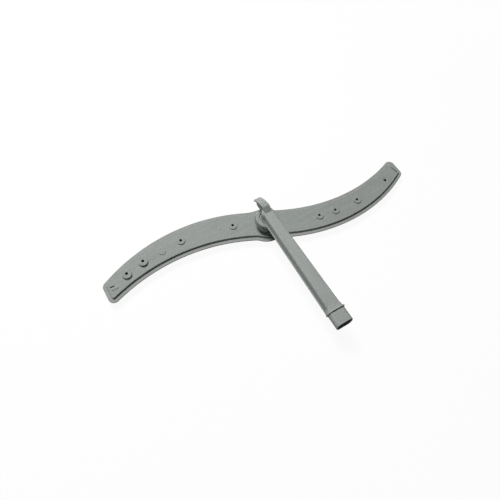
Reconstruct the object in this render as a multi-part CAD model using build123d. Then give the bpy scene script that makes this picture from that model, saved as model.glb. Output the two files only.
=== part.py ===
from build123d import *
from math import hypot, radians, tan
import os

# Upper spray arm of a dishwasher, with the feed pipe that carries it. Millimetres.
# The spin axis is Z, the rotor's floor lies on z = 0, its arms run along X and the pipe runs along -Y.

touch = 0.01  # points closer than this are one point

# Rotor outline from above. One arm is described, and the other is that arm turned half a turn.
span = 460.0
hub_radius = 26.1
hub_inner_blend = 24.0
hub_outer_blend = 55.0
outer_step = 3.5  # bowed edge: inside the hub's rim on the spin axis,
outer_belly = 51.2  # then from the X axis half way along the arm,
outer_tip = 21.9  # and at the tip
inner_start = 12.0  # hollow edge: where it leaves the hub,
inner_step = 5.6  # how far inside the level of the hub's rim it is there,
inner_belly = 9.7  # then from the X axis half way along the arm,
inner_tip = 9.8  # and at the tip
tip_corner = 7.5
tip_core = 1.0  # least rounding of a tip's corners inside the shells

# Lower shell: a tray with the welding flange round its rim.
flange_thickness = 1.7
flange_edge = 0.4
tray_depth = 9.3  # floor to the underside of the flange
tray_inset = 4.6  # flange that stands out from the tray wall
tray_wall = 1.8
tray_floor = 1.8
tray_draft = 8.0
tray_edge = 2.0

# Upper shell: a low cover welded on the flange, with a lip that finds the tray.
cover_inset = 5.2
cover_height = 3.0
cover_panel = 1.8
cover_wall = 2.2
cover_edge = 0.8
lip_depth = 2.0
lip_thickness = 1.0
lip_gap = 0.15

# Jets on the upper shell, placed along the middle line of each arm.
jet_line_root = 0.6  # how far the line passes the spin axis on the hollow side
jet_bore = 3.8
boss_shift = 0.7  # bosses stand off the line, away from the pipe's mouth,
jet_shift = 1.3  # and their jets a little more
tall_boss_diameter = 12.2
tall_boss_height = 3.0
low_boss_diameter = 11.2
low_boss_height = 1.5
blank_boss_diameter = 10.8
blank_boss_height = 0.8
boss_edge = 0.35
pip_diameter = 3.6
pip_height = 0.7
dimple_diameter = 7.6
dimple_depth = 1.2
dimple_shift = -1.7  # the dimpled jet lies off the line, towards the pipe's mouth
tall_boss_stations = ((-1, 0.739), (-1, 0.848))  # arm, then share of its line from the spin axis
low_boss_stations = ((1, 0.328), (1, 0.434), (1, 0.595), (-1, 0.192), (-1, 0.501))
blank_boss_stations = ((-1, 0.622),)
pip_stations = ((-1, 0.270),)
dimple_stations = ((1, 0.852),)
slit_width = 1.5
fan_slit_length = 11.6  # slit across the arm at one tip
fan_slit_turn = 101.0  # its direction, from that of the arm
fan_slit_setback = 8.8  # its middle from the tip
fan_slit_offset = 12.4  # and from the X axis, on the bowed side
side_slit_length = 6.2  # slit along the arm at the other tip
side_slit_setback = 11.2
side_slit_offset = 13.7
deflector_length = 9.0  # wedge beside that slit, on the hollow side
deflector_shift = 1.9  # its middle behind the slit's, towards the hub
deflector_start = 1.0  # from the slit's middle line to where it rises,
deflector_crest = 4.0  # to its crest
deflector_foot = 5.8  # and to where it ends
deflector_height = 0.9

# Feed pipe: a flattened pipe with a round head over the spin axis, wider at the mouth.
pipe_level = 38.0  # middle of the pipe above the rotor's floor
head_diameter = 17.2
pipe_width_hub = 14.8
pipe_width_collar = 19.2
pipe_height = 13.4
pipe_crown = 2.8  # rounding of the upper corners
pipe_heel = 0.8  # rounding of the lower corners, inside and out
pipe_wall = 1.8
ledge_reach = 1.2  # weld ledge round the foot of the pipe, beyond its wall
ledge_height = 1.5
ledge_edge = 0.3
collar_reach = 156.5  # spin axis to the face of the collar that stops in the water port
collar_width = 26.0
collar_height = 17.4
collar_corner = 7.2
collar_thickness = 1.7
flare_length = 5.5
spigot_width = 23.4
spigot_height = 13.8
spigot_corner = 5.8
spigot_wall = 1.2
spigot_length = 18.0  # collar face to the upper lip
mouth_rake = 1.9  # lower lip ahead of the upper lip

# Outlet tube of the pipe, its retaining flange, and the ring nut that traps it on the rotor's neck.
outlet_bore = 6.4  # radius
outlet_wall = 1.8
keeper_reach = 2.2  # retaining flange beyond the tube
keeper_thickness = 2.2
keeper_gap = 0.3
end_play = 0.2  # above and below the retaining flange
running_gap = 0.08  # ring nut round the outlet tube
shoulder_width = 3.0
neck_wall = 2.1
neck_root = 2.0
thread_gap = 0.05
nut_wall = 2.65
nut_lip = 2.4
nut_height = 7.7
nut_clear = 0.6  # ring nut below the pipe
nut_chamfer = 0.7
nut_recess_width = 2.3  # sunk ring in the top of the ring nut, round the outlet tube
nut_recess_depth = 1.4
nut_foot_height = 2.2  # toothed foot of the ring nut
nut_foot_reach = 1.1  # beyond its wall
flute_count = 40
flute_radius = 0.8
flute_depth = 0.7

# Hanging tongue: a bent strap on a middle rib, rising from the closed end of the pipe.
tongue_width = 10.2
tongue_thickness = 2.2
tongue_root = 1.1  # spin axis back to the foot of the front ramp
tongue_ridge = 7.0  # spin axis to the ridge
tongue_rise = 6.2  # ridge above the pipe, before it is rounded
tongue_crown = 4.5  # rounding of the ridge
tongue_tip = 28.0  # spin axis to the tip
tongue_fall = 11.6  # tip below the ridge
tongue_bow = 1.4  # bulge of the strap between ridge and tip
tongue_edge = 0.5
pad_diameter = 8.4
pad_height = 0.5
pad_station = 0.30  # share of the strap from ridge to tip
rib_thickness = 5.0
rib_foot = 22.5  # spin axis to the end of the rib's lower edge

# Heights and radii that follow from the sizes above.
outer_root = hub_radius - outer_step
inner_root = hub_radius - inner_step
flange_top = tray_depth + flange_thickness
panel_top = flange_top + cover_height
panel_under = panel_top - cover_panel
pipe_under = pipe_level - pipe_height / 2
pipe_top = pipe_level + pipe_height / 2
outlet_radius = outlet_bore + outlet_wall
keeper_radius = outlet_radius + keeper_reach
neck_bore = keeper_radius + keeper_gap
neck_radius = neck_bore + neck_wall
nut_bore = neck_radius + thread_gap
nut_radius = nut_bore + nut_wall
nut_foot_radius = nut_radius + nut_foot_reach
nut_top = pipe_under - nut_clear
neck_top = nut_top - nut_lip
keeper_top = neck_top - end_play
keeper_under = keeper_top - keeper_thickness
shoulder_level = keeper_under - end_play
nut_under = nut_top - nut_height
bearing_radius = outlet_radius + running_gap
outlet_length = pipe_under + pipe_wall - keeper_under


def arm_blade(inward):
    """One arm between its bowed and its hollow edge, moved inwards, from inside the hub to its tip."""
    half = span / 2
    reach = half - inward
    bowed = ThreePointArc((0, -outer_root), (half / 2, -outer_belly), (half, -outer_tip))
    hollow = ThreePointArc((inner_start, inner_root), (half / 2, -inner_belly), (half, inner_tip))
    root = ((0, -outer_root), (inner_start, inner_root))
    corners = (*root, (inner_start, half), (reach, half), (reach, -half), (0, -half))
    field = make_face(Polyline(*corners, close=True))
    disc = Pos(bowed.arc_center) * Circle(bowed.radius - inward)
    bite = Pos(hollow.arc_center) * Circle(hollow.radius + inward)
    return (field & disc) - bite


def rotor_outline(inward=0, level=0):
    """The S-shaped plan of the rotor at a level: two arms blended into a round hub, all moved inwards."""
    blade = arm_blade(inward)
    rim = hub_radius - inward
    outline = blade + Rot(0, 0, 180) * blade + Circle(rim)
    hub_corners = [v for v in outline.vertices() if abs(hypot(v.X, v.Y) - rim) < touch]
    for corner in hub_corners:
        blend = hub_inner_blend if corner.X * corner.Y > 0 else hub_outer_blend
        outline = fillet(outline.vertices().sort_by_distance(corner)[0], blend + inward)
    tip_corners = [v for v in outline.vertices() if abs(abs(v.X) - span / 2 + inward) < touch]
    outline = fillet(tip_corners, max(tip_corner - inward, tip_core))
    return Pos(0, 0, level) * outline


def tray_inset_at(level):
    """How far the outside of the tray wall lies inside the flange's edge at a level."""
    return tray_inset + (tray_depth - level) * tan(radians(tray_draft))


def lower_shell():
    """The tray: drafted wall, flat floor and the flange round its rim."""
    flange = extrude(rotor_outline(level=tray_depth), flange_thickness)
    flange = fillet(flange.edges().group_by(Axis.Z)[0] + flange.edges().group_by(Axis.Z)[-1], flange_edge)
    body = extrude(rotor_outline(tray_inset_at(0)), tray_depth, taper=-tray_draft)
    body = fillet(body.edges().group_by(Axis.Z)[0], tray_edge)
    cavity_inset = tray_inset_at(tray_floor) + tray_wall
    cavity = extrude(rotor_outline(cavity_inset, tray_floor), flange_top - tray_floor, taper=-tray_draft)
    return flange + body - cavity


def jet_place(arm, station, shift=0):
    """Where a jet stands on the panel: a share of the middle line of one arm, then moved along Y."""
    half = span / 2
    middle = (outer_belly + inner_belly) / 2
    end = (outer_tip - inner_tip) / 2
    line = ThreePointArc((0, jet_line_root), (half / 2, -middle), (half, -end))
    point = line.position_at(station)
    return Pos(arm * point.X, arm * point.Y + shift, panel_top)


def boss(diameter, height):
    """A round boss with an eased rim, standing on the panel."""
    body = extrude(Circle(diameter / 2), height)
    rim = body.edges().group_by(Axis.Z)[-1]
    return fillet(rim, boss_edge)


def pip():
    """A low round pip, part of a ball."""
    radius = (pip_diameter**2 / 4 + pip_height**2) / (2 * pip_height)
    ball = Pos(0, 0, pip_height - radius) * Sphere(radius)
    return ball & extrude(Circle(pip_diameter / 2), pip_height)


def dimple():
    """A dished pocket round a jet, part of a ball."""
    radius = (dimple_diameter**2 / 4 + dimple_depth**2) / (2 * dimple_depth)
    return Pos(0, 0, radius - dimple_depth) * Sphere(radius)


def slit(length, turn):
    """A slit nozzle through the panel, turned from the arm's direction."""
    return extrude(SlotOverall(length, slit_width, rotation=turn), cover_height, both=True)


def deflector():
    """A wedge beside a slit: it rises away from the slit, and falls to the panel behind its crest."""
    under = -cover_panel / 2
    crest = (deflector_crest, deflector_height)
    foot = (deflector_foot, 0)
    corners = ((deflector_start, under), (deflector_start, 0), crest, foot, (deflector_foot, under))
    profile = Plane.YZ * make_face(Polyline(*corners, close=True))
    return Pos(-deflector_shift) * extrude(profile, deflector_length / 2, both=True)


def neck():
    """The threaded neck, with the shoulder that the retaining flange runs over."""
    height = neck_top - panel_under
    post = Pos(0, 0, panel_under) * extrude(Circle(neck_radius), height)
    root_ring = Pos(0, 0, panel_top) * extrude(Circle(neck_radius + neck_root), neck_root)
    cove = Pos(0, 0, panel_top + neck_root) * Torus(neck_radius + neck_root, neck_root)
    return post + (root_ring - cove)


def neck_passage():
    """The water's way through the neck, with the chamber of the retaining flange."""
    below = Pos(0, 0, panel_under) * extrude(Circle(neck_bore - shoulder_width), neck_top - panel_under)
    chamber = Pos(0, 0, shoulder_level) * extrude(Circle(neck_bore), neck_top - shoulder_level)
    return below + chamber


def upper_shell():
    """The cover: raised panel, locating lip, neck, bosses and jets."""
    body = extrude(rotor_outline(cover_inset, flange_top), cover_height)
    body = fillet(body.edges().group_by(Axis.Z)[-1], cover_edge)
    lip_level = flange_top - lip_depth
    lip_inset = tray_inset_at(lip_level) + tray_wall + lip_gap
    lip_core = rotor_outline(lip_inset + lip_thickness, lip_level)
    lip = extrude(rotor_outline(lip_inset, lip_level) - lip_core, panel_under - lip_level)
    cavity = extrude(rotor_outline(cover_inset + cover_wall, flange_top), panel_under - flange_top)
    shell = body - cavity + lip + neck() - neck_passage()
    jet = extrude(Circle(jet_bore / 2), cover_height + tall_boss_height, both=True)
    for arm, station in tall_boss_stations:
        shell += jet_place(arm, station, boss_shift) * boss(tall_boss_diameter, tall_boss_height)
    for arm, station in low_boss_stations:
        shell += jet_place(arm, station, boss_shift) * boss(low_boss_diameter, low_boss_height)
    for arm, station in blank_boss_stations:
        shell += jet_place(arm, station) * boss(blank_boss_diameter, blank_boss_height)
    for arm, station in pip_stations:
        shell += jet_place(arm, station) * pip()
    for arm, station in tall_boss_stations + low_boss_stations:
        shell -= jet_place(arm, station, jet_shift) * jet
    for arm, station in dimple_stations:
        shell -= jet_place(arm, station, dimple_shift) * (dimple() + jet)
    fan_place = Pos(span / 2 - fan_slit_setback, -fan_slit_offset, panel_top)
    side_place = Rot(0, 0, 180) * Pos(span / 2 - side_slit_setback, -side_slit_offset, panel_top)
    shell += side_place * deflector()
    return shell - fan_place * slit(fan_slit_length, fan_slit_turn) - side_place * slit(side_slit_length, 0)


def ring_nut():
    """The ring nut: a threaded skirt on the neck, a toothed foot, and a lip over the retaining flange."""
    body = Pos(0, 0, nut_under) * extrude(Circle(nut_radius), nut_height)
    body = chamfer(body.edges().group_by(Axis.Z)[-1], nut_chamfer)
    body += Pos(0, 0, nut_under) * extrude(Circle(nut_foot_radius), nut_foot_height)
    ring = PolarLocations(nut_foot_radius + flute_radius - flute_depth, flute_count)
    flutes = Pos(0, 0, nut_under) * ring * extrude(Circle(flute_radius), nut_foot_height)
    thread = Pos(0, 0, nut_under) * extrude(Circle(nut_bore), neck_top - nut_under)
    bearing = Pos(0, 0, nut_under) * extrude(Circle(bearing_radius), nut_height)
    recess = Pos(0, 0, nut_top) * extrude(Circle(bearing_radius + nut_recess_width), -nut_recess_depth)
    return body - flutes - thread - bearing - recess


def pipe_section(width, height, crown, heel, reach):
    """A rounded section of the pipe, across its run, at a distance from the spin axis."""
    plane = Plane(origin=(0, -reach, pipe_level), x_dir=(1, 0, 0), z_dir=(0, -1, 0))
    face = Rectangle(width, height)
    face = fillet(face.vertices().group_by(Axis.Y)[-1], crown)
    return plane * fillet(face.vertices().group_by(Axis.Y)[0], heel)


def pipe_run(inward):
    """The tapered run of the pipe with its round head, moved inwards by a wall."""
    height = pipe_height - 2 * inward
    crown = pipe_crown - inward
    start = pipe_section(pipe_width_hub - 2 * inward, height, crown, pipe_heel, 0)
    stop = pipe_section(pipe_width_collar - 2 * inward, height, crown, pipe_heel, collar_reach)
    head = Pos(0, 0, pipe_under + inward) * extrude(Circle(head_diameter / 2 - inward), height)
    return loft([start, stop]) + fillet(head.edges().group_by(Axis.Z)[-1], crown)


def ledge():
    """The ledge round the foot of the pipe, where its floor is welded on."""
    near = pipe_width_hub / 2 + ledge_reach
    far = pipe_width_collar / 2 + ledge_reach
    corners = ((-near, 0), (near, 0), (far, -collar_reach), (-far, -collar_reach))
    plan = make_face(Polyline(*corners, close=True)) + Circle(near)
    plate = Pos(0, 0, pipe_under) * extrude(plan, ledge_height)
    return fillet(plate.edges().group_by(Axis.Z)[-1], ledge_edge)


def collar():
    """The stop collar, with the flare that leads up to it from the pipe."""
    flare_end = collar_reach - collar_thickness
    near = pipe_section(pipe_width_collar, pipe_height, pipe_crown, pipe_heel, flare_end - flare_length)
    far = pipe_section(spigot_width, spigot_height, spigot_corner, spigot_corner, flare_end)
    plate = pipe_section(collar_width, collar_height, collar_corner, collar_corner, collar_reach)
    disc = extrude(plate, -collar_thickness)
    return loft([near, far]) + fillet(disc.edges().group_by(Axis.Y)[-1], collar_thickness / 2)


def raked_end():
    """The space ahead of the mouth, bounded by its raked plane."""
    top = pipe_level + collar_height
    under = pipe_level - collar_height
    lean = mouth_rake / spigot_height * collar_height
    middle = collar_reach + spigot_length + mouth_rake / 2
    ahead = 2 * middle
    corners = ((lean - middle, top), (-lean - middle, under), (-ahead, under), (-ahead, top))
    return extrude(Plane.YZ * make_face(Polyline(*corners, close=True)), collar_width, both=True)


def spigot(inward):
    """The oval plug-in spigot, or its bore when moved inwards by its wall."""
    width = spigot_width - 2 * inward
    height = spigot_height - 2 * inward
    corner = spigot_corner - inward
    face = pipe_section(width, height, corner, corner, collar_reach)
    return extrude(face, spigot_length + mouth_rake)


def outlet():
    """The outlet tube with its retaining flange."""
    tube = Pos(0, 0, keeper_under) * extrude(Circle(outlet_radius), outlet_length)
    keeper = Pos(0, 0, keeper_under) * extrude(Circle(keeper_radius), keeper_thickness)
    return tube + keeper


def tongue_line(depth):
    """The bent line of the strap from ridge to tip, seen from the side, at a depth below its top."""
    ridge = Vector(tongue_ridge, pipe_top + tongue_rise)
    tip = Vector(tongue_tip, pipe_top + tongue_rise - tongue_fall)
    top = SagittaArc(ridge, tip, tongue_bow)
    middle = top.arc_center
    share = 1 - depth / top.radius
    points = [middle + (top.position_at(t) - middle) * share for t in (0, 0.5, 1)]
    return ThreePointArc(*points)


def tongue():
    """The hanging tongue: front ramp, bent strap with a round pad, and the rib under it."""
    buried = pipe_top - pipe_wall / 2
    over = tongue_line(0)
    under = tongue_line(tongue_thickness)
    foot = (-tongue_root, pipe_top)
    front = Polyline((-tongue_root, buried), foot, over @ 0)
    back = Polyline(under @ 0, (tongue_ridge - tongue_root, buried), (-tongue_root, buried))
    side = make_face([*front.edges(), over, Line(over @ 1, under @ 1), under, *back.edges()])
    strap = extrude(Plane.YZ * side, tongue_width / 2, both=True)
    strap = fillet(strap.edges().filter_by(Axis.X).sort_by(Axis.Z)[-1], tongue_crown)
    side_edges = [e for e in strap.edges() if abs(abs(e.center().X) - tongue_width / 2) < touch]
    strap = fillet([e for e in side_edges if e.center().Z > pipe_top], tongue_edge)
    core = tongue_line(tongue_thickness / 2)
    foot_line = Polyline(core @ 1, (rib_foot, pipe_under), (0, pipe_under), (0, buried), core @ 0)
    rib = extrude(Plane.YZ * make_face([core, *foot_line.edges()]), rib_thickness / 2, both=True)
    spot = over @ pad_station
    lean = over % pad_station
    pad_plane = Plane(origin=(0, spot.X, spot.Y), x_dir=(1, 0, 0), z_dir=(0, -lean.Y, lean.X))
    sunk = tongue_thickness / 2
    pad = pad_plane.offset(-sunk) * boss(pad_diameter, sunk + pad_height)
    return strap + rib + pad


def feed_pipe():
    """The whole feed pipe: run, ledge, collar, spigot, outlet and tongue, hollow from mouth to outlet."""
    body = pipe_run(0) + ledge() + tongue() + collar() + spigot(0) + outlet()
    channel = pipe_run(pipe_wall) + spigot(spigot_wall)
    bore = Pos(0, 0, keeper_under) * extrude(Circle(outlet_bore), outlet_length)
    return body - raked_end() - channel - bore


os.makedirs("parts", exist_ok=True)
export_step(feed_pipe(), "parts/feed_pipe.step")
export_step(upper_shell(), "parts/arm_upper_shell.step")
export_step(lower_shell(), "parts/arm_lower_shell.step")
export_step(ring_nut(), "parts/hub_ring_nut.step")
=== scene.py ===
import logging
import math
from dataclasses import dataclass, field
from enum import Enum
from typing import Any

import bmesh
import bpy
from mathutils import Matrix, Vector


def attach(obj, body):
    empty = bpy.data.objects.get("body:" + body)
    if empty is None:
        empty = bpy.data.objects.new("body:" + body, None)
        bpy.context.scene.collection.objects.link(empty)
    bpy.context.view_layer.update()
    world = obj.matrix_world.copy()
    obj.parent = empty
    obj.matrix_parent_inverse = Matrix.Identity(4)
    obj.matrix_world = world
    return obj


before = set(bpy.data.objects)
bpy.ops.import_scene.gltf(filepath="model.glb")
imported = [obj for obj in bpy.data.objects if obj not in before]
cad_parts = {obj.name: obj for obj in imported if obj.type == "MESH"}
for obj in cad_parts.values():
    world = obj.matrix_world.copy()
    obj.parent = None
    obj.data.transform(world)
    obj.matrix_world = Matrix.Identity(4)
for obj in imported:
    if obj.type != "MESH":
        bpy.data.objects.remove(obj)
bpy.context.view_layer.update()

MM = 0.001
UP = Vector((0, 0, 1))
PHOTO_PIXELS = 500
WHITE = "#ffffff"
# The sRGB curve: a straight foot up to the knee, then a power.
SRGB_KNEE = 0.04045
SRGB_FOOT = 12.92
SRGB_OFFSET = 0.055
SRGB_POWER = 2.4

logging.basicConfig(level=logging.INFO, format="%(name)s: %(message)s")
log = logging.getLogger("spray_arm")


class Body(Enum):
    """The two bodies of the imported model."""

    PIPE = "feed_pipe_body"
    ROTOR = "rotor"


class Slot(Enum):
    """The record's material slots for the new pieces; the script does not assign them."""

    PIPE = "pipe_plastic"
    COVER = "arm_plastic"


class Flow(Enum):
    """The way the melt ran when a piece was moulded."""

    ALONG_X = (1.0, 0.0, 0.0)
    ALONG_Y = (0.0, 1.0, 0.0)
    ALONG_Z = (0.0, 0.0, 1.0)


def linear(code: str) -> tuple[float, float, float, float]:
    """Turns an sRGB hex colour to linear light.

    Args:
        code: six hex digits after a hash.

    Returns:
        Red, green, blue and a full alpha.
    """
    channels = []
    for start in (1, 3, 5):
        value = int(code[start:start + 2], 16) / 255
        curved = ((value + SRGB_OFFSET) / (1 + SRGB_OFFSET)) ** SRGB_POWER
        channels.append(value / SRGB_FOOT if value <= SRGB_KNEE else curved)
    return (*channels, 1.0)


def add_node(tree: bpy.types.NodeTree, kind: str, settings: dict[str, Any] | None = None,
             inputs: dict[str | int, Any] | None = None) -> bpy.types.Node:
    """Adds one shader node with its settings, and sets or links its inputs.

    Args:
        tree: the node tree that takes the node.
        kind: the node's type name, without its common prefix.
        settings: the node's own properties by name.
        inputs: by socket name or place, a value or the output socket that feeds it.

    Returns:
        The new node.
    """
    node = tree.nodes.new("ShaderNode" + kind)
    for name, value in (settings or {}).items():
        setattr(node, name, value)
    for key, value in (inputs or {}).items():
        if isinstance(value, bpy.types.NodeSocket):
            tree.links.new(value, node.inputs[key])
        else:
            node.inputs[key].default_value = value
    return node


@dataclass(frozen=True)
class MouldedPolypropylene:
    """Grey-filled polypropylene from an injection mould with a fine eroded texture.

    The eye sees a satin grey with a green cast. It is never quite even: the pigment clouds a little, faint
    streaks follow the melt, the filler speckles it and edges turn smoothly. Painted highlight makes the edges
    paler, or painted shade makes them darker, and painted shade darkens bores, seams and corners.
    """

    name: str
    colour: str
    flow: Flow
    roughness: float = 0.66
    ior: float = 1.49
    specular: float = 0.3
    cloud_mm: float = 26.0
    cloud_share: float = 0.03
    cloud_detail: float = 3.0
    streak_length_mm: float = 70.0
    streak_width_mm: float = 3.2
    streak_share: float = 0.06
    streak_detail: float = 2.0
    # The filler's specks are a few hundredths of a millimetre, and are drawn coarser so that they show.
    speck_mm: float = 1.6
    speck_share: float = 0.13
    speck_detail: float = 1.0
    noise_span: tuple[float, float] = (0.25, 0.75)
    gloss_patch_mm: float = 9.0
    gloss_share: float = 0.06
    gloss_detail: float = 2.0
    # The eroded texture of the mould is about 0.05 mm, and is drawn coarser so that it shows.
    texture_mm: float = 0.8
    texture_depth_mm: float = 0.012
    texture_detail: float = 3.0
    edge_mm: float = 0.55
    # Painted highlight on the edges; a value below nought paints shade there instead.
    painted_edge_light: float = 0.16
    edge_span: tuple[float, float] = (0.995, 0.85)
    # Painted shade: ambient occlusion darkens the colour in bores, seams, corners and gaps within this reach.
    painted_shade_mm: float = 2.2
    painted_shade_depth: float = 0.85
    painted_shade_span: tuple[float, float] = (0.68, 0.28)
    # True where a neighbour turns past the piece, so that the painted shade follows only the piece's own shape and
    # leaves no dark patch behind.
    own_painted_shade: bool = False
    probes: int = 8

    def coordinates(self, tree: bpy.types.NodeTree, sizes_mm: tuple[float, float, float],
                    place: bpy.types.NodeSocket) -> bpy.types.NodeSocket:
        """Scales object coordinates so that one unit is a pattern size along each axis.

        Args:
            tree: the material's node tree.
            sizes_mm: pattern size along X, Y and Z.
            place: object coordinates in metres.

        Returns:
            The scaled coordinates.
        """
        scale = Vector([1 / (size * MM) for size in sizes_mm])
        return add_node(tree, "Mapping", None, {"Vector": place, "Scale": scale}).outputs[0]

    def noise(self, tree: bpy.types.NodeTree, sizes_mm: tuple[float, float, float],
              place: bpy.types.NodeSocket, detail: float) -> bpy.types.NodeSocket:
        """A cloudy pattern of real size.

        Args:
            tree: the material's node tree.
            sizes_mm: pattern size along X, Y and Z.
            place: object coordinates in metres.
            detail: octaves of finer cloud.

        Returns:
            A value about one half.
        """
        scaled = self.coordinates(tree, sizes_mm, place)
        return add_node(tree, "TexNoise", None, {"Vector": scaled, "Scale": 1.0, "Detail": detail}).outputs[0]

    def spread(self, tree: bpy.types.NodeTree, value: bpy.types.NodeSocket, span: tuple[float, float],
               goal: tuple[float, float] = (0.0, 1.0)) -> bpy.types.NodeSocket:
        """Stretches a value from one span to another.

        Args:
            tree: the material's node tree.
            value: what is stretched.
            span: the values that reach the ends of the goal.
            goal: the lowest and the highest result.

        Returns:
            The stretched value.
        """
        ends = {"From Min": span[0], "From Max": span[1], "To Min": goal[0], "To Max": goal[1]}
        return add_node(tree, "MapRange", None, {"Value": value, **ends}).outputs[0]

    def streak_sizes(self) -> tuple[float, float, float]:
        """Streak size along each axis: long with the flow, narrow across it."""
        return tuple(self.streak_length_mm if part else self.streak_width_mm for part in self.flow.value)

    def shade(self, tree: bpy.types.NodeTree, place: bpy.types.NodeSocket) -> bpy.types.NodeSocket:
        """How much lighter or darker than its colour the pigment is at each point.

        Args:
            tree: the material's node tree.
            place: object coordinates in metres.

        Returns:
            A factor about one.
        """
        layers = (
            ((self.cloud_mm,) * 3, self.cloud_share, self.cloud_detail),
            (self.streak_sizes(), self.streak_share, self.streak_detail),
            ((self.speck_mm,) * 3, self.speck_share, self.speck_detail),
        )
        total = None
        for sizes, share, detail in layers:
            cloud = self.noise(tree, sizes, place, detail)
            part = self.spread(tree, cloud, self.noise_span, (-share, share))
            other = 1.0 if total is None else total
            total = add_node(tree, "Math", {"operation": "ADD"}, {0: part, 1: other}).outputs[0]
        return total

    def edge_mask(self, tree: bpy.types.NodeTree, rounded: bpy.types.NodeSocket) -> bpy.types.NodeSocket:
        """Finds the edges, where painted highlight (or, below nought, painted shade) goes.

        Args:
            tree: the material's node tree.
            rounded: normals that turn smoothly over the edges.

        Returns:
            One on edges and nought on flat faces.
        """
        facing = add_node(tree, "NewGeometry").outputs["Normal"]
        match = add_node(tree, "VectorMath", {"operation": "DOT_PRODUCT"}, {0: rounded, 1: facing})
        return self.spread(tree, match.outputs["Value"], self.edge_span)

    def painted_shade_mask(self, tree: bpy.types.NodeTree) -> bpy.types.NodeSocket:
        """Finds bores, seams and corners, where painted shade darkens the colour.

        Args:
            tree: the material's node tree.

        Returns:
            One deep inside them and nought on open faces.
        """
        manner = {"samples": self.probes, "only_local": self.own_painted_shade}
        open_share = add_node(tree, "AmbientOcclusion", manner, {"Distance": self.painted_shade_mm * MM}).outputs["AO"]
        return self.spread(tree, open_share, self.painted_shade_span)

    def material(self) -> bpy.types.Material:
        """Builds the finish.

        Returns:
            The material.
        """
        made = bpy.data.materials.new(self.name)
        made.use_nodes = True
        tree = made.node_tree
        tree.nodes.clear()
        place = add_node(tree, "TexCoord").outputs["Object"]
        rounded = add_node(tree, "Bevel", {"samples": self.probes}, {"Radius": self.edge_mm * MM}).outputs[0]
        # Painted highlight brightens the edges and painted shade darkens bores, seams and corners in the base
        # colour.
        masks = ((self.edge_mask(tree, rounded), self.painted_edge_light), (self.painted_shade_mask(tree), -self.painted_shade_depth))
        tone = self.shade(tree, place)
        for mask, change in masks:
            tone = add_node(tree, "Math", {"operation": "MULTIPLY_ADD"}, {0: mask, 1: change, 2: tone}).outputs[0]
        colour = add_node(tree, "VectorMath", {"operation": "SCALE"},
                          {0: linear(self.colour)[:3], "Scale": tone}).outputs[0]
        patch = self.noise(tree, (self.gloss_patch_mm,) * 3, place, self.gloss_detail)
        dull = (self.roughness * (1 - self.gloss_share), self.roughness * (1 + self.gloss_share))
        gloss = self.spread(tree, patch, self.noise_span, dull)
        pits = self.noise(tree, (self.texture_mm,) * 3, place, self.texture_detail)
        bump = add_node(tree, "Bump", None, {"Height": pits, "Strength": 1.0, "Normal": rounded,
                                             "Distance": self.texture_depth_mm * MM})
        shader = add_node(tree, "BsdfPrincipled", None, {"Base Color": colour, "Roughness": gloss, "IOR": self.ior,
                                                         "Specular IOR Level": self.specular,
                                                         "Normal": bump.outputs[0]})
        add_node(tree, "OutputMaterial", None, {"Surface": shader.outputs[0]})
        return made


# The pipe is the palest of the mouldings, and painted shade darkens its mouth a long way in.
PIPE_FINISH = MouldedPolypropylene(
    "polypropylene_moulded_pipe", "#969b98", Flow.ALONG_Y,
    painted_shade_mm=16.0, painted_shade_depth=0.96, painted_shade_span=(0.48, 0.25), own_painted_shade=True)
# Painted shade darkens the cover's jets, and painted highlight makes the rims of its bosses pale.
COVER_FINISH = MouldedPolypropylene(
    "polypropylene_moulded_cover", "#8b908d", Flow.ALONG_X,
    edge_mm=0.8, painted_edge_light=0.42, painted_shade_mm=4.0, painted_shade_depth=0.92, painted_shade_span=(0.56, 0.30))
# The tray is a little warmer, and painted shade darkens the rim of its flange.
TRAY_FINISH = MouldedPolypropylene(
    "polypropylene_moulded_tray", "#8d908c", Flow.ALONG_X, painted_edge_light=-0.30)
# The nut's edges get the strongest painted highlight, and painted shade darkens the gaps between its teeth.
NUT_FINISH = MouldedPolypropylene(
    "polypropylene_moulded_nut", "#898e8b", Flow.ALONG_Z, cloud_mm=9.0,
    edge_mm=0.8, painted_edge_light=0.85, painted_shade_mm=2.6, painted_shade_depth=0.95, painted_shade_span=(0.90, 0.45), own_painted_shade=True)


def paint(piece: bpy.types.Object, finish: MouldedPolypropylene) -> None:
    """Gives a piece one finish all over.

    Args:
        piece: the mesh object.
        finish: what it is made of.
    """
    piece.data.materials.clear()
    piece.data.materials.append(finish.material())


def skin(name: str, rings: list[list[Vector]], closed: bool) -> bpy.types.Object:
    """Joins rings of points into one closed skin.

    Args:
        name: the piece's name.
        rings: sections along the piece, each with the same number of points, in metres.
        closed: whether the last ring meets the first. Otherwise both ends are capped.

    Returns:
        The piece, in the scene.
    """
    body = bmesh.new()
    loops = [[body.verts.new(point) for point in ring] for ring in rings]
    follow = loops[1:] + loops[:1] if closed else loops[1:]
    for one, two in zip(loops, follow):
        for here in range(len(one)):
            there = (here + 1) % len(one)
            body.faces.new((one[here], one[there], two[there], two[here])).smooth = True
    if not closed:
        body.faces.new(loops[0][::-1])
        body.faces.new(loops[-1])
    bmesh.ops.recalc_face_normals(body, faces=body.faces)
    mesh = bpy.data.meshes.new(name)
    body.to_mesh(mesh)
    body.free()
    piece = bpy.data.objects.new(name, mesh)
    bpy.context.scene.collection.objects.link(piece)
    return piece


def fasten(piece: bpy.types.Object, body: Body, finish: MouldedPolypropylene) -> None:
    """Hangs a new piece on its body and paints it.

    Args:
        piece: the mesh object.
        body: what it moves with.
        finish: what it is made of.
    """
    paint(piece, finish)
    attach(piece, body.value)
    log.info("built %s with %d faces", piece.name, len(piece.data.polygons))


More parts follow.
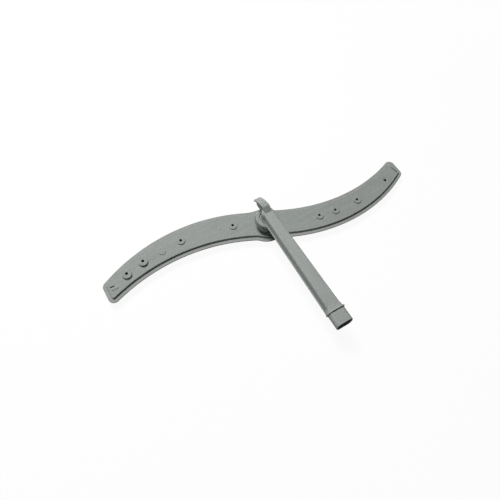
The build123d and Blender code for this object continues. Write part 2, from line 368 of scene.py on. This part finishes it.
@dataclass(frozen=True)
class Bead:
    """A thin bead of flash that a weld or a mould joint leaves, round and slightly uneven."""

    radius_mm: float
    sides: int = 8
    wave_mm: float = 17.0
    wave_share: float = 0.10
    second_wave: float = math.sqrt(7)
    step_mm: float = 2.5

    def spaced(self, path: list[Vector], closed: bool) -> list[Vector]:
        """Puts points along a path at even steps.

        Args:
            path: corners of the path, in metres.
            closed: whether the path returns to its start.

        Returns:
            Points on the path, a step apart.
        """
        ends = path[1:] + path[:1] if closed else path[1:]
        points = []
        for start, end in zip(path, ends):
            count = max(1, round((end - start).length / (self.step_mm * MM)))
            points += [start.lerp(end, share / count) for share in range(count)]
        return points if closed else points + [path[-1]]

    def build(self, name: str, path: list[Vector], closed: bool) -> bpy.types.Object:
        """Runs the bead along a level path.

        Args:
            name: the piece's name.
            path: corners of the path, in metres.
            closed: whether the path returns to its start.

        Returns:
            The bead.
        """
        points = self.spaced(path, closed)
        last = len(points) - 1
        rings = []
        run = 0.0
        for place, point in enumerate(points):
            before = points[place - 1] if closed or place else point
            after = points[(place + 1) % len(points)] if closed or place < last else point
            along = (after - before).normalized()
            across = along.cross(UP).normalized()
            up = across.cross(along)
            run += (point - before).length / (self.wave_mm * MM)
            swell = math.sin(math.tau * run) * math.sin(self.second_wave * run)
            radius = self.radius_mm * MM * (1 + self.wave_share * swell)
            turns = [math.tau * side / self.sides for side in range(self.sides)]
            rings.append([point + (across * math.cos(turn) + up * math.sin(turn)) * radius for turn in turns])
        return skin(name, rings, closed)


@dataclass
class FeedPipe:
    """The fixed feed pipe with its collar, spigot and hanging tongue."""

    node: str = "feed_pipe"
    body: Body = Body.PIPE
    slot: Slot = Slot.PIPE
    finish: MouldedPolypropylene = PIPE_FINISH
    weld_flash: Bead = Bead(0.17)
    mould_flash: Bead = Bead(0.13)
    level_mm: float = 38.0
    ledge_level_mm: float = 32.0
    ledge_near_mm: float = 8.6
    ledge_far_mm: float = 10.8
    ledge_end_mm: float = 154.0
    collar_reach_mm: float = 156.5
    head_points: int = 40
    spigot_half_mm: float = 11.7
    spigot_start_mm: float = 157.0
    spigot_end_mm: float = 174.8

    def ledge_path(self) -> list[Vector]:
        """The weld's way round the ledge: along one side, round the head and back.

        Returns:
            Corners of the path, in metres.
        """
        share = self.ledge_end_mm / self.collar_reach_mm
        wide = self.ledge_near_mm + (self.ledge_far_mm - self.ledge_near_mm) * share
        level = self.ledge_level_mm
        turns = [math.pi * point / self.head_points for point in range(self.head_points + 1)]
        head = [(self.ledge_near_mm * math.cos(turn), self.ledge_near_mm * math.sin(turn), level) for turn in turns]
        corners = [(wide, -self.ledge_end_mm, level), *head, (-wide, -self.ledge_end_mm, level)]
        return [Vector(corner) * MM for corner in corners]

    def build(self) -> None:
        """Adds the flash of the floor's weld and that of the mould along both sides of the spigot."""
        weld = self.weld_flash.build("pipe_weld_flash", self.ledge_path(), False)
        fasten(weld, self.body, self.finish)
        for side, name in ((-1, "spigot_flash_left"), (1, "spigot_flash_right")):
            start = Vector((side * self.spigot_half_mm, -self.spigot_start_mm, self.level_mm)) * MM
            end = Vector((side * self.spigot_half_mm, -self.spigot_end_mm, self.level_mm)) * MM
            fasten(self.mould_flash.build(name, [start, end], False), self.body, self.finish)

    def dress(self) -> None:
        """Puts the moulded finish on the pipe."""
        paint(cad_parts[self.node], self.finish)
        log.info("dressed %s", self.node)


@dataclass
class SprayRotor:
    """The turning arm: cover, tray and ring nut."""

    body: Body = Body.ROTOR
    slot: Slot = Slot.COVER
    cover: str = "arm_upper_shell"
    finishes: dict[str, MouldedPolypropylene] = field(default_factory=lambda: {
        "arm_upper_shell": COVER_FINISH,
        "arm_lower_shell": TRAY_FINISH,
        "hub_ring_nut": NUT_FINISH,
    })
    weld_flash: Bead = Bead(0.32)
    weld_level_mm: float = 11.0
    same_mm: float = 0.01
    wall_lean: float = 0.5
    neck_radius_mm: float = 12.8
    thread_start_mm: float = 17.3
    thread_pitch_mm: float = 3.0
    thread_turns: float = 1.55
    thread_depth_mm: float = 0.8
    thread_root_mm: float = 1.7
    thread_crest_mm: float = 0.7
    thread_bed_mm: float = 0.2
    thread_fade: float = 0.08
    thread_steps: int = 120

    def weld_path(self) -> list[Vector]:
        """Finds where the foot of the cover's outer wall meets the flange.

        Returns:
            The corners of that line in order, in metres.
        """
        copy = bmesh.new()
        copy.from_mesh(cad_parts[self.cover].data)
        bmesh.ops.remove_doubles(copy, verts=copy.verts, dist=self.same_mm * MM)
        level = self.weld_level_mm * MM
        foot = [edge for edge in copy.edges
                if all(abs(vert.co.z - level) < self.same_mm * MM for vert in edge.verts)
                and edge.is_manifold and edge.is_convex
                and any(abs(face.normal.z) < self.wall_lean for face in edge.link_faces)]
        ways: dict[int, list[bmesh.types.BMVert]] = {}
        for edge in foot:
            one, two = edge.verts
            ways.setdefault(one.index, []).append(two)
            ways.setdefault(two.index, []).append(one)
        start = max((vert for edge in foot for vert in edge.verts), key=lambda vert: vert.co.x)
        line = [start]
        step = ways[start.index][0]
        while step is not start and len(line) < len(foot):
            line.append(step)
            step = next((vert for vert in ways[step.index] if vert is not line[-2]), start)
        path = [vert.co.copy() for vert in line]
        copy.free()
        return path

    def thread(self) -> bpy.types.Object:
        """Winds the part of the neck's thread that shows under the ring nut.

        Returns:
            The thread.
        """
        inner = self.neck_radius_mm - self.thread_bed_mm
        root = self.thread_root_mm / 2
        crest = self.thread_crest_mm / 2
        rings = []
        for step in range(self.thread_steps + 1):
            share = step / self.thread_steps
            turn = math.tau * self.thread_turns * share
            fade = min(1.0, share / self.thread_fade, (1 - share) / self.thread_fade)
            level = self.thread_start_mm + self.thread_pitch_mm * self.thread_turns * share
            outer = self.neck_radius_mm + self.thread_depth_mm * fade
            section = ((inner, -root), (outer, -crest), (outer, crest), (inner, root))
            rings.append([Vector((radius * math.cos(turn), radius * math.sin(turn), level + rise)) * MM
                          for radius, rise in section])
        return skin("neck_thread", rings, False)

    def build(self) -> None:
        """Adds the flash of the weld round the cover, and the thread on the neck."""
        bead = self.weld_flash.build("cover_weld_flash", self.weld_path(), True)
        for piece in (bead, self.thread()):
            fasten(piece, self.body, self.finishes[self.cover])

    def dress(self) -> None:
        """Puts each moulding's own finish on it."""
        for node, finish in self.finishes.items():
            paint(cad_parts[node], finish)
            log.info("dressed %s", node)


@dataclass
class PhotoCamera:
    """The camera that took the photograph, as solved from the arm's outline."""

    focal_pixels: float = 465.2
    azimuth: float = -38.3
    elevation: float = 61.94
    roll: float = 8.445
    hub_pixel: tuple[float, float] = (265.69, 224.77)
    hub_depth_mm: float = 644.3
    hub_height_mm: float = 11.0
    sensor_mm: float = 36.0

    def build(self) -> None:
        """Places the camera."""
        turn = Matrix.Rotation(math.radians(self.azimuth), 3, "Z")
        rise = math.radians(self.elevation)
        right = turn @ Vector((1, 0, 0))
        up = turn @ Vector((0, math.sin(rise), math.cos(rise)))
        look = turn @ Vector((0, math.cos(rise), -math.sin(rise)))
        lean = math.radians(self.roll)
        across = right * math.cos(lean) + up * math.sin(lean)
        upright = up * math.cos(lean) - right * math.sin(lean)
        scale = self.hub_depth_mm * MM / self.focal_pixels
        half = PHOTO_PIXELS / 2
        shift_right = (self.hub_pixel[0] - half) * scale
        shift_down = (self.hub_pixel[1] - half) * scale
        hub = Vector((0, 0, self.hub_height_mm * MM))
        place = hub - across * shift_right + upright * shift_down - look * self.hub_depth_mm * MM
        data = bpy.data.cameras.new("photo_camera")
        data.sensor_fit = "HORIZONTAL"
        data.sensor_width = self.sensor_mm
        data.lens = self.sensor_mm * self.focal_pixels / PHOTO_PIXELS
        camera = bpy.data.objects.new("photo_camera", data)
        camera.matrix_world = Matrix((
            (across.x, upright.x, -look.x, place.x),
            (across.y, upright.y, -look.y, place.y),
            (across.z, upright.z, -look.z, place.z),
            (0, 0, 0, 1),
        ))
        bpy.context.scene.collection.objects.link(camera)
        bpy.context.scene.camera = camera


@dataclass(frozen=True)
class SoftLamp:
    """A square soft box."""

    name: str
    place: tuple[float, float, float]
    size: float
    watts: float
    aim: tuple[float, float, float] = (0.0, -0.03, 0.0)

    def build(self) -> None:
        """Hangs the lamp."""
        data = bpy.data.lights.new(self.name, "AREA")
        data.shape = "SQUARE"
        data.size = self.size
        data.energy = self.watts
        lamp = bpy.data.objects.new(self.name, data)
        lamp.location = self.place
        lamp.rotation_euler = (Vector(self.aim) - Vector(self.place)).to_track_quat("-Z", "Y").to_euler()
        bpy.context.scene.collection.objects.link(lamp)


@dataclass
class Studio:
    """White table, pale room and soft lamps."""

    table_side: float = 12.0
    table_cells: int = 4
    # The table lies a hair under the tray, so that their faces do not share one plane.
    table_level: float = -0.0001
    table_colour: str = "#f4f4f3"
    # What the arm's walls see of the table is duller than what the eye sees.
    bounce_colour: str = "#989896"
    shadow_share: float = 0.06
    shadow_span: tuple[float, float] = (0.45, 1.1)
    room_light: float = 0.03
    lamps: tuple[SoftLamp, ...] = (
        SoftLamp("key_behind", (-0.14, 0.71, 1.34), 0.50, 25.5),
        SoftLamp("side_fill", (-1.20, 0.10, 0.18), 0.30, 2.2),
    )

    def seen(self, tree: bpy.types.NodeTree) -> bpy.types.NodeSocket:
        """Finds the rays that show the background to the eye.

        Args:
            tree: the node tree of the table or the room.

        Returns:
            One for a straight, mirrored or refracted look, and nought for light that bounces.
        """
        path = add_node(tree, "LightPath").outputs
        total = path["Is Camera Ray"]
        for other in ("Is Glossy Ray", "Is Transmission Ray"):
            total = add_node(tree, "Math", {"operation": "MAXIMUM"}, {0: total, 1: path[other]}).outputs[0]
        return total

    def table_material(self) -> bpy.types.Material:
        """A white table that the eye sees as white, with the object's shadow on it.

        Returns:
            The material.
        """
        made = bpy.data.materials.new("paper_table_white")
        made.use_nodes = True
        tree = made.node_tree
        tree.nodes.clear()
        paper = add_node(tree, "BsdfDiffuse", None, {"Color": linear(self.table_colour)}).outputs[0]
        glow = add_node(tree, "Emission", None, {"Color": linear(WHITE), "Strength": 1.0}).outputs[0]
        place = add_node(tree, "TexCoord").outputs["Object"]
        away = add_node(tree, "VectorMath", {"operation": "LENGTH"}, {0: place}).outputs["Value"]
        near, far = self.shadow_span
        fade = {"From Min": near, "From Max": far, "To Min": self.shadow_share, "To Max": 0.0}
        share = add_node(tree, "MapRange", None, {"Value": away, **fade}).outputs[0]
        pale = add_node(tree, "MixShader", None, {0: share, 1: glow, 2: paper}).outputs[0]
        dull = add_node(tree, "BsdfDiffuse", None, {"Color": linear(self.bounce_colour)}).outputs[0]
        shown = add_node(tree, "MixShader", None, {0: self.seen(tree), 1: dull, 2: pale}).outputs[0]
        add_node(tree, "OutputMaterial", None, {"Surface": shown})
        return made

    def table(self) -> None:
        """Lays the table under the arm."""
        mesh = bpy.data.meshes.new("table")
        plan = bmesh.new()
        cells = self.table_cells
        bmesh.ops.create_grid(plan, x_segments=cells, y_segments=cells, size=self.table_side / 2)
        plan.to_mesh(mesh)
        plan.free()
        table = bpy.data.objects.new("table", mesh)
        table.location.z = self.table_level
        mesh.materials.append(self.table_material())
        bpy.context.scene.collection.objects.link(table)

    def room(self) -> None:
        """Makes the room: white to the eye, dim to the surfaces it lights."""
        world = bpy.data.worlds.new("room")
        world.use_nodes = True
        tree = world.node_tree
        tree.nodes.clear()
        pale = linear(WHITE)
        dim = add_node(tree, "Background", None, {"Color": pale, "Strength": self.room_light}).outputs[0]
        white = add_node(tree, "Background", None, {"Color": pale, "Strength": 1.0}).outputs[0]
        shown = add_node(tree, "MixShader", None, {0: self.seen(tree), 1: dim, 2: white}).outputs[0]
        add_node(tree, "OutputWorld", None, {"Surface": shown})
        bpy.context.scene.world = world

    def build(self) -> None:
        """Sets up the whole studio."""
        bpy.context.scene.view_settings.view_transform = "Standard"
        self.table()
        self.room()
        for lamp in self.lamps:
            lamp.build()
            log.info("hung %s", lamp.name)


def main() -> None:
    """Dresses the arm, builds the studio and places the camera."""
    for assembly in (FeedPipe(), SprayRotor()):
        assembly.dress()
        assembly.build()
    Studio().build()
    PhotoCamera().build()


if __name__ == "__main__":
    main()
